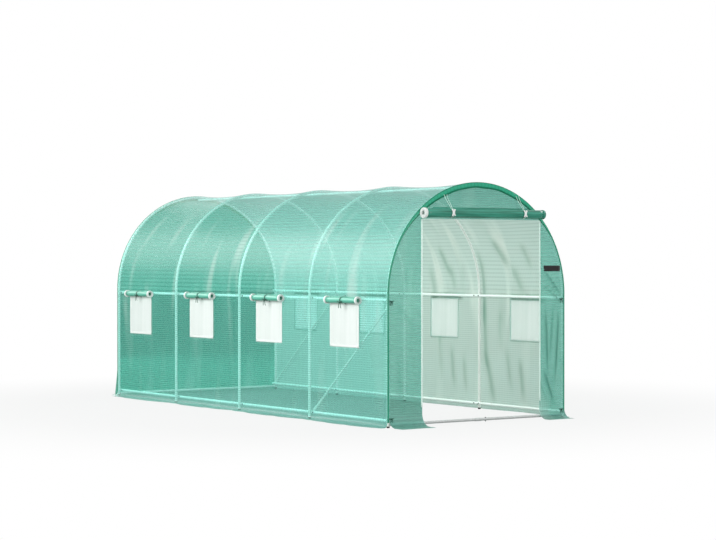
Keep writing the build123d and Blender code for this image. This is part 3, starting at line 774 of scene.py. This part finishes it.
def arch_row(x, row):
    """Height of a row above the spring; the doorway's top lies along one row."""
    knee = (DOOR_TOP - SPRING) / arch_rise(max(DOOR_LEFT, min(DOOR_RIGHT, x)))
    if row <= ROW_DOOR:
        share = knee * (row - ROW_SPRING) / (ROW_DOOR - ROW_SPRING)
    else:
        share = knee + (1 - knee) * (row - ROW_DOOR) / (ROW_CROWN - ROW_DOOR)
    return SPRING + arch_rise(x) * share


def front_row(x, row):
    """Height of a row of the front below the spring, and how far out it lies: flat flap, bend and wall."""
    wave = wander(x, -4.0, 0.0, 0.23)
    reach = END_REACH * (1.06 if x < 0 else 0.78) * (1 + 0.10 * wave)  # the left flap reaches further
    bend = min(END_BEND, reach * 0.62)
    arc = bend * math.pi / 2
    flat = reach - bend
    if row > ROW_BEND:
        start = bend + ABOVE_BEND
        return start + (SPRING - start) * (row - ROW_BEND) / (ROW_SPRING - ROW_BEND), 0.0
    run = row / ROW_BEND * (flat + arc + ABOVE_BEND)
    if run < flat:
        return GROUND_GAP + 0.004 * max(0.0, wave), reach - run
    if run < flat + arc:
        turn = (run - flat) / bend
        return GROUND_GAP + bend * (1 - math.cos(turn)), bend * (1 - math.sin(turn))
    return bend + run - flat - arc, 0.0


def back_row(x, row):
    """Height of a row of the back below the spring, and how far out it lies: flat flap and slack wall."""
    wave = wander(x, 4.0, 0.0, 0.23)
    reach = END_REACH * (1.0 + 0.06 * wave)
    if row <= ROW_FLAP:
        z, out = GROUND_GAP + 0.004 * max(0.0, wave), reach + (BACK_LEAN - reach) * row / ROW_FLAP
    else:
        z = SPRING * (row - ROW_FLAP) / (ROW_SPRING - ROW_FLAP)
        z, out = max(GROUND_GAP, z), BACK_LEAN * (1 - smooth(0.0, 1.0, z**0.55))
    sewn = 0.03 + 0.97 * smooth(0.0, 0.03, END_EDGE - abs(x))  # to the side walls, down to the ground
    return z, out * sewn


def make_end(name, end, door):
    """End wall in one sheet, with its ground flap; the front one has the doorway cut out."""
    across = end_columns([-END_EDGE, DOOR_LEFT, DOOR_RIGHT, END_EDGE], 0.015 if door else 0.035)
    along = stations([0.0, ROW_FLAP, ROW_BEND], 0.020)
    along += stations([ROW_BEND, ROW_SPRING], 0.016 if door else 0.034)[1:]
    along += stations([ROW_SPRING, ROW_DOOR, ROW_CROWN], 0.03 if door else 0.05)[1:]
    low_row = front_row if door else back_row

    def place(x, row):
        z, flare = (arch_row(x, row), 0.0) if row > ROW_SPRING else low_row(x, row)
        return Vector((x, end * (END_FILM + flare + end_swell(x, z, end)), z))

    film = lay_sheet(name, across, along, place)
    if door:
        drop_faces(film, lambda x, row: DOOR_LEFT < x < DOOR_RIGHT and row < ROW_DOOR)
    uv = film.data.uv_layers.active.data
    for loop in film.data.loops:
        spot = film.data.vertices[loop.vertex_index].co
        uv[loop.index].uv = (WALL_WEAVE + spot.z + abs(spot.y) - END_FILM, spot.x)
    shade_folds(film, lambda p: front_folds(p.x, p.z) if door else 0.0)
    face_outwards(film, lambda p: Vector((0, end, 0.2)))
    thicken(film, FILM_THICKNESS, end_film if door else back_end_film, end_inner)
    return film


front_film = settle(
    make_end("front_film", -1, True),
    "woven_cover",
    "front_panel_left",
    "front_panel_right",
    "front_panel_top",
    "front_skirt_left",
    "front_skirt_right",
)
back_film = settle(make_end("back_film", 1, False), "woven_cover", "back_panel", "back_skirt")

# Hems: the doubled edge of the cover, sewn as a sleeve round each end hoop


def make_hem(name, end):
    """Sleeve from the roof round the outside of the end hoop and onto the end wall."""
    half = stations([0.0, TO_SPRING, SPRING - HEM_FOOT + TO_SPRING], 0.03)
    across = [-g for g in reversed(half)][:-1] + half

    def place(girth, step):
        g = abs(girth)
        side = -1 if girth < 0 else 1
        climb = max(0.0, math.cos(min(g / FILM_RADIUS, math.pi / 2)))
        width = HEM_LEG + (HEM_CROWN - HEM_LEG) * smooth(0.45, 0.93, climb)
        width *= 1 + 0.08 * wander(girth, 3.0 * end, 0.0, 0.09)
        pucker = 0.0010 * wander(girth, 8.0 * end, 1.0, 0.045)
        section = [  # up from the roof's film and out from the end wall's
            (0.0012, -0.0045),
            (0.0017, -0.0030),
            (0.0014, -0.0010),
            (-0.0006, 0.0014),
            (-0.0050, 0.0034 + pucker),
            (-0.65 * width, 0.0036 + 1.5 * pucker),
            (-width, 0.0022 + pucker),
        ]
        up, out = section[step]
        r = FILM_RADIUS + up
        y = end * (END_FILM + out)
        if g <= TO_SPRING:
            angle = g / FILM_RADIUS
            return Vector((side * r * math.sin(angle), y, SPRING + r * math.cos(angle)))
        return Vector((side * r, y, SPRING - (g - TO_SPRING)))

    hem = lay_sheet(name, across, range(7), place)
    face_outwards(hem, lambda p: Vector((p.x * 0.2, end, 0)))
    thicken(hem, FILM_THICKNESS, hem_film if end < 0 else back_hem_film)
    return hem


front_hem = settle(make_hem("front_hem_sleeve", -1), "hem_tape", "front_hem")
back_hem = settle(make_hem("back_hem_sleeve", 1), "hem_tape", "back_hem")

# Tapes, cords and rolls


def tape(name, line, width_way, width, material):
    """Flat tape along a line of spots; width_way is the direction of its width."""
    run = distances(line)
    where = dict(zip(run, line))
    way = Vector(width_way).normalized()
    piece = lay_sheet(name, [-width / 2, 0.0, width / 2], run, lambda a, s: where[s] + way * a)
    thicken(piece, 0.0014, material)
    edit_all(piece, bpy.ops.mesh.normals_make_consistent, inside=False)
    return piece


def wound_sheet(name, material, to_place, half, step, radius, core, turns, thickness, wobble, lead=0.0, seam=0.0):
    """Sheet wound inwards from its seam: down behind the roll, under it and round; returns it and its length.

    The section runs in (out from the wall, up), counted from the axis of the roll, with the turn where it is wound.
    """
    section = []
    if lead:
        for share in (0.0, 0.25, 0.5, 0.75):
            section.append((Vector((-seam + (seam - radius) * share, lead * (1 - share))), None))
    count = round(turns * 26)
    for i in range(count + 1):
        turned = turns * i / count
        reach = radius - (radius - core) / turns * turned
        turn = math.pi + TAU * turned
        section.append((Vector((reach * math.cos(turn), reach * math.sin(turn))), turn))
    run = distances([spot for spot, _ in section])
    where = dict(zip(run, section))

    def place(along_axis, s):
        spot, turn = where[s]
        if turn is not None:
            bulge = wander(along_axis, math.cos(turn) * 0.05, math.sin(turn) * 0.05 + radius * 50, 0.06)
            spot = spot * (1 + wobble * bulge)
        return to_place(along_axis, spot.x, spot.y)

    sheet = lay_sheet(name, stations([-half, half], step), run, place)
    thicken(sheet, thickness, material)
    edit_all(sheet, bpy.ops.mesh.normals_make_consistent, inside=False)
    return sheet, run[-1]


def on_front(u, out, v):
    """Place on the front: across, out from the film and up."""
    return Vector((u, -(END_FILM + out), v))


def at_door_roll(u, out, up):
    """Place by the door's roll: along its axis, out and up from it; beside the arch nothing stands over the roll."""
    up = min(up, 0.034) if abs(u) > 0.56 and out < -0.040 else up
    return Vector((DOOR_ROLL_MIDDLE + u, DOOR_ROLL_Y - out, DOOR_ROLL_Z + up))


door_flap, door_flap_length = wound_sheet(
    "door_flap_roll", rolled_film, at_door_roll, half=DOOR_ROLL_HALF, step=0.045,
    radius=0.0415, core=0.014, turns=10.0, thickness=0.0014, wobble=0.035, lead=0.052, seam=0.047,
)
settle(door_flap, "rolled_cover", "door_roll")
door_ring, _ = wound_sheet(
    "door_zip_ring", white_tape, lambda u, out, up: at_door_roll(-DOOR_END + u, out, up), half=0.012, step=0.006,
    radius=0.0475, core=0.021, turns=8.0, thickness=0.0031, wobble=0.012,
)
settle(door_ring, "zip_tape", "door_roll_rings")
door_end, _ = wound_sheet(
    "door_flap_end", rolled_film, lambda u, out, up: at_door_roll(DOOR_END + u, out, up), half=0.012, step=0.006,
    radius=0.0435, core=0.014, turns=10.0, thickness=0.0014, wobble=0.02,
)
settle(door_end, "rolled_cover", "door_roll_rings")


def door_tie(name, x):
    """Pair of strands that hang from the hem, lie over the front of the roll and come back under it."""
    strands = []
    for shift in (-0.007, 0.007):
        line = []
        for t in (0.0, 0.25, 0.5, 0.75):
            across = x - 0.020 * (1 - t) + shift * (2.2 - 1.2 * t)
            line.append(on_front(across, 0.0046 + 0.075 * t**1.6, DOOR_TIE_TOP - 0.122 * t))
        for degrees in range(70, -101, -10):
            turn = math.radians(degrees)
            spot = at_door_roll(0.0, DOOR_TIE_RADIUS * math.cos(turn), DOOR_TIE_RADIUS * math.sin(turn))
            line.append(Vector((x + shift, spot.y, spot.z)))
        strands.append(tape(name, line, (1, 0.15, 0), 0.0065, tie_cord))
    return join(name, strands)


def crossed_clip(name, x):
    """White moulded clip: two crossed bars with a boss, in front of the roll."""
    bars = []
    for lean in (-0.46, 0.46):
        deselect()
        bpy.ops.mesh.primitive_cube_add(size=1.0)
        bpy.ops.transform.resize(value=(0.014, 0.006, 0.066))
        bpy.ops.transform.rotate(value=lean, orient_axis="Y", center_override=(0, 0, 0))
        apply_place()
        modify(bpy.context.object, "BEVEL", width=0.0022, segments=3)
        bars.append(bpy.context.object)
    deselect()
    bpy.ops.mesh.primitive_cylinder_add(vertices=24, radius=0.010, depth=0.010, rotation=(math.pi / 2, 0, 0))
    apply_place()
    modify(bpy.context.object, "BEVEL", width=0.002, segments=3)
    clip = join(name, bars + [bpy.context.object])
    pick(clip)
    bpy.ops.transform.translate(value=(x, DOOR_ROLL_Y - 0.0492, DOOR_ROLL_Z + 0.004))
    apply_place()
    bpy.ops.object.shade_smooth_by_angle(angle=math.radians(40))
    paint(clip, clip_plastic)
    return clip


door_ties, door_clips = [], []
for side, x in DOOR_TIES.items():
    door_ties.append(settle(door_tie(f"door_tie_{side}", x), "tie_tape", "door_ties"))
    door_clips.append(settle(crossed_clip(f"door_clip_{side}", x), "toggle_plastic", "door_toggles"))


def make_zip(name, x, width):
    """Zip tape on the film beside the doorway, with the ridge of its coil along the doorway's edge."""
    rows = stations([ZIP_FOOT, DOOR_TOP - 0.004], 0.03)
    ridge = {0.0: 0.0010, 0.3: 0.0014, 0.6: 0.0014, 0.72: 0.0030, 0.9: 0.0034, 1.0: 0.0022}

    def place(share, z):
        at = x + width * (1 - share)
        return on_front(at, end_swell(at, z, -1) + ridge[share], z)

    strip = lay_sheet(name, list(ridge), rows, place)
    face_outwards(strip, lambda p: Vector((0, -1, 0)))
    thicken(strip, 0.0008, zip_tape)
    return strip


door_zips = [
    settle(make_zip("door_zip_left", DOOR_LEFT + 0.0015, -ZIP_WIDTH), "zip_tape", "door_zips"),
    settle(make_zip("door_zip_right", DOOR_RIGHT - 0.0015, ZIP_WIDTH), "zip_tape", "door_zips"),
]


def bow(name, to_place, size, material):
    """Tied bow: two loops, two tails and the knot between them; to_place takes (along, out, up)."""
    parts = []
    sideways = to_place(1, 0, 0) - to_place(0, 0, 0)
    for way in (-1, 1):
        loop, tail = [], []
        for t in [i / 12 for i in range(13)]:
            arc = math.sin(math.pi * t)
            aside = way * size * arc * (1 - 0.15 * t)
            loop.append(to_place(aside, 0.003 + 0.011 * t, size * (0.22 * arc + 0.10 * t)))
        for t in [i / 8 for i in range(9)]:
            aside = way * size * (0.10 + 0.42 * t + 0.06 * math.sin(5 * t))
            tail.append(to_place(aside, 0.005 + 0.004 * math.sin(3 * t), -size * 1.25 * t))
        parts.append(tape(name, loop, (0, 0, 1), 0.010, material))
        parts.append(tape(name, tail, sideways, 0.009, material))
    deselect()
    bpy.ops.mesh.primitive_uv_sphere_add(segments=16, ring_count=10, radius=0.0085)
    knot = bpy.context.object
    bpy.ops.transform.translate(value=to_place(0, 0.009, 0.002))
    apply_place()
    bpy.ops.object.shade_smooth()
    paint(knot, material)
    return join(name, parts + [knot])


# Windows: mesh, edge tape, wound flap, its end rings and its tie


def make_window(side, number, middle):
    """One window of a side wall with everything that hangs on it."""
    way = SIDES[side]
    label = f"{side}_window_{number}"
    half = WINDOW_WIDTH / 2
    foot = WINDOW_TOP - WINDOW_HEIGHT
    inner_half = half - WINDOW_BORDER
    inner_foot, inner_top = foot + WINDOW_BORDER, WINDOW_TOP - WINDOW_BORDER

    def on_wall(u, out, v):
        return Vector((way * (WALL_FACE + out), middle + u, v))

    def by_roll(u, out, up):
        return Vector((way * (WINDOW_ROLL_OUT + out), middle + WINDOW_ROLL_SHIFT + u, WINDOW_ROLL_Z + up))

    def billow(u, v):
        inside = smooth(0.0, 0.12, half - abs(u)) * smooth(0.0, 0.12, min(v - foot, WINDOW_TOP - v))
        return 0.0010 + inside * (0.0022 + 0.002 * wander(u, v, number * 3.0 * way, 0.12))

    columns = stations([-half, -inner_half, inner_half, half], 0.03)
    rows = stations([foot, inner_foot, inner_top, WINDOW_TOP], 0.03)
    mesh = lay_sheet(f"{label}_mesh", columns, rows, lambda u, v: on_wall(u, billow(u, v), v))
    face_outwards(mesh, lambda p: Vector((way, 0, 0)))
    thicken(mesh, 0.0006, insect_mesh)
    settle(mesh, "window_mesh", f"{side}_window_panels")

    edge = lay_sheet(f"{label}_tape", columns, rows, lambda u, v: on_wall(u, billow(u, v) + 0.0016, v))
    drop_faces(edge, lambda u, v: abs(u) < inner_half and inner_foot < v < inner_top)
    face_outwards(edge, lambda p: Vector((way, 0, 0)))
    thicken(edge, 0.0012, white_tape)
    settle(edge, "window_mesh", f"{side}_window_panels")

    flap, length = wound_sheet(
        f"{label}_flap", window_roll_film, by_roll, half=WINDOW_ROLL_HALF, step=0.04,
        radius=0.0265, core=0.011, turns=3.5, thickness=0.0014, wobble=0.03, lead=0.030, seam=0.0365,
    )
    settle(flap, "rolled_cover", f"{side}_window_rolls")
    rings = []
    for at in (-WINDOW_RING, WINDOW_RING):
        ring, _ = wound_sheet(
            f"{label}_ring", white_tape, lambda u, out, up: by_roll(at + u, out, up), half=0.010, step=0.005,
            radius=0.0340, core=0.017, turns=5.0, thickness=0.0034, wobble=0.012,
        )
        rings.append(ring)
    ring = settle(join(f"{label}_rings", rings), "zip_tape", f"{side}_window_roll_rings")

    line = [on_wall(WINDOW_ROLL_SHIFT, 0.0012, WINDOW_ROLL_Z + 0.040)]
    for degrees in range(80, -131, -10):
        turn = math.radians(degrees)
        line.append(by_roll(0, WINDOW_TIE_RADIUS * math.cos(turn), WINDOW_TIE_RADIUS * math.sin(turn)))
    line.append(on_wall(WINDOW_ROLL_SHIFT, 0.0042, WINDOW_ROLL_Z - 0.038))
    strap = tape(label, line, (0, 1, 0), 0.015, dark_tie)
    tied = bow(label, lambda u, out, up: by_roll(u, 0.0225 + out, up - 0.022), 0.040, dark_tie)
    tie = settle(join(f"{label}_tie", [strap, tied]), "tie_tape", f"{side}_window_ties")


for side in SIDES:
    for number, middle in enumerate(window_middles(side), 1):
        make_window(side, number, middle)

# Ties that hold the cover to the front posts
POST_TIES = [(-0.968, 0.075), (-0.968, 1.085), (0.955, 0.075), (0.955, 1.085)]  # across and up
for number, (x, z) in enumerate(POST_TIES, 1):
    knot = bow(f"post_tie_{number}", lambda u, out, up: on_front(x + u, 0.004 + out, z + up), 0.024, dark_tie)
    settle(knot, "tie_tape")

# Bare dark patch on the front right strip
patch = lay_sheet(
    "plain_patch",
    stations([0.750, 0.945], 0.03),
    stations([1.342, 1.395], 0.012),
    lambda x, z: on_front(x, end_swell(x, z, -1) + 0.0022, z),
)
face_outwards(patch, lambda p: Vector((0, -1, 0)))
thicken(patch, 0.0012, patch_cloth)
settle(patch, "woven_cover")

# Bolts through the rails beside the hoops
BOLT_SHIFT = 0.034  # from the middle of the hoop
BOLT_PARTS = [  # corners, radius, length and middle of the head, washer, nut and shank
    (6, 0.0060, 0.0045, 0.0148),
    (24, 0.0078, 0.0014, 0.0132),
    (6, 0.0060, 0.0050, -0.0150),
    (16, 0.0030, 0.0380, -0.0020),
]


def make_bolt(name):
    """Hexagon bolt with washer and nut across a 25 mm tube, along X, from the middle of the tube."""
    parts = []
    for corners, radius, depth, at in BOLT_PARTS:
        deselect()
        bpy.ops.mesh.primitive_cylinder_add(
            vertices=corners, radius=radius, depth=depth, location=(at, 0, 0), rotation=(0, math.pi / 2, 0)
        )
        apply_place()
        modify(bpy.context.object, "BEVEL", width=0.0006, segments=2)
        parts.append(bpy.context.object)
    bolt = join(name, parts)
    paint(bolt, bolt_black)
    pick(bolt)
    bpy.ops.object.shade_smooth_by_angle(angle=math.radians(35))
    return bolt


def copy_to(piece, place, turn=0.0):
    """Copy of a piece with a mesh of its own, turned about Y and moved to a place."""
    pick(piece)
    bpy.ops.object.duplicate(linked=False)
    bpy.ops.transform.rotate(value=turn, orient_axis="Y", center_override=(0, 0, 0))
    bpy.ops.transform.translate(value=place)
    apply_place()
    return bpy.context.object


first_bolt = make_bolt("bolt")
bolt_sets = {"ridge_bolts": [], "left_rail_bolts": [], "right_rail_bolts": []}
for y in [hoop + shift for hoop in HOOPS for shift in (-BOLT_SHIFT, BOLT_SHIFT)]:
    if abs(y) > HALF_LENGTH:
        continue
    bolt_sets["ridge_bolts"].append(copy_to(first_bolt, (0, y, RIDGE_RAIL_Z), math.pi / 2))
    for side, way in SIDES.items():
        for height in RAIL_HEIGHTS:
            bolt = copy_to(first_bolt, (way * RAIL_OUT, y, height), 0.0 if way > 0 else math.pi)
            bolt_sets[f"{side}_rail_bolts"].append(bolt)
bolt_sets["threshold_bolt"] = [copy_to(first_bolt, (0.085, -HALF_LENGTH, SILL_Z), math.pi / 2)]
bpy.data.objects.remove(first_bolt)
for name, bolts in bolt_sets.items():
    settle(join(name, bolts), "galvanised_tube")

# Steel and feet keep their solids and take their finish; the rails take a copy of the steel painted lighter, as
# painted light, and the sill one painted darker, as painted shade
finishes_and_painted_light = {"foot_plugs": foot_plastic, "front_base_rail": shaded_sill_steel}
for name in ("left_base_rail", "right_base_rail", "left_side_rail", "right_side_rail", "ridge_rail"):
    finishes_and_painted_light[name] = lit_rail_steel
for name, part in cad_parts.items():
    paint(part, finishes_and_painted_light.get(name, steel))

# Floor, backdrop and light


def seen_bare(tree):
    """1 where the camera sees the backdrop with no film in between."""
    bare = node(tree, "LightPath", out="Transparent Depth")
    bare = node(tree, "Math", {0: bare, 1: 0.5}, operation="LESS_THAN")
    seen = node(tree, "LightPath", out="Is Camera Ray")
    return node(tree, "Math", {0: seen, 1: bare}, operation="MULTIPLY")


def studio_white(name, shade):
    """White to the eye, less so near the tunnel, where it keeps the shadow; a plain lit surface behind the film."""
    material, tree = new_material(name)
    spot = node(tree, "TexCoord", out="Object")
    far = node(tree, "VectorMath", {0: spot}, "Value", operation="LENGTH")
    share = node(tree, "MapRange", {0: far, 1: 2.5, 2: 6.0, 3: 0.86, 4: 1.0}, interpolation_type="SMOOTHSTEP")
    white = node(tree, "Math", {0: seen_bare(tree), 1: share}, operation="MULTIPLY")
    lit = node(tree, "BsdfDiffuse", {"Color": hex_colour(shade)})
    bright = node(tree, "Emission", {"Color": WHITE, "Strength": 1.0})
    node(tree, "OutputMaterial", {"Surface": node(tree, "MixShader", {0: white, 1: lit, 2: bright})})
    return material


deselect()
bpy.ops.mesh.primitive_plane_add(size=120.0, location=(0, 0, -0.001))
floor = bpy.context.object
floor.name = "floor"
paint(floor, studio_white("studio_floor", "#a9adab"))

world = bpy.data.worlds.new("studio")
bpy.context.scene.world = world
world.use_nodes = True
tree = world.node_tree
tree.nodes.clear()
glossy = node(tree, "LightPath", out="Is Glossy Ray")
shown = node(tree, "Math", {0: seen_bare(tree), 1: glossy}, operation="MAXIMUM")
level = node(tree, "MapRange", {0: shown, 3: 0.42, 4: 1.0})
node(tree, "OutputWorld", {"Surface": node(tree, "Background", {"Color": WHITE, "Strength": level})})


def softbox(name, place, towards, size, power):
    """Large soft lamp aimed at a point."""
    lamp = bpy.data.objects.new(name, bpy.data.lights.new(name, "AREA"))
    bpy.context.collection.objects.link(lamp)
    lamp.location = place
    lamp.rotation_euler = (Vector(towards) - Vector(place)).to_track_quat("-Z", "Y").to_euler()
    lamp.data.size = size
    lamp.data.energy = power
    lamp.visible_camera = False
    return lamp


softbox("key_softbox", (-10.0, -1.0, 5.0), (0, 0, 1.0), 5.0, 1000.0)
softbox("front_softbox", (0.5, -10.0, 4.0), (0, 0, 1.0), 4.0, 290.0)
softbox("side_softbox", (9.0, 0.5, 4.0), (0, 0, 1.0), 5.0, 560.0)
softbox("rear_softbox", (0.5, 9.5, 3.5), (0, 0, 1.0), 5.0, 170.0)

# The shine along the left shoulder of the roof, which lights nothing else
glare = softbox("shoulder_softbox", (-4.1, 6.4, 4.7), (-0.9, 6.4, 1.5), 6.6, 560.0)
glare.data.shape = "RECTANGLE"
glare.data.size_y = 3.5
glare.visible_diffuse = glare.visible_transmission = False

bpy.context.scene.cycles.transparent_max_bounces = 32
bpy.context.scene.view_settings.view_transform = "Standard"
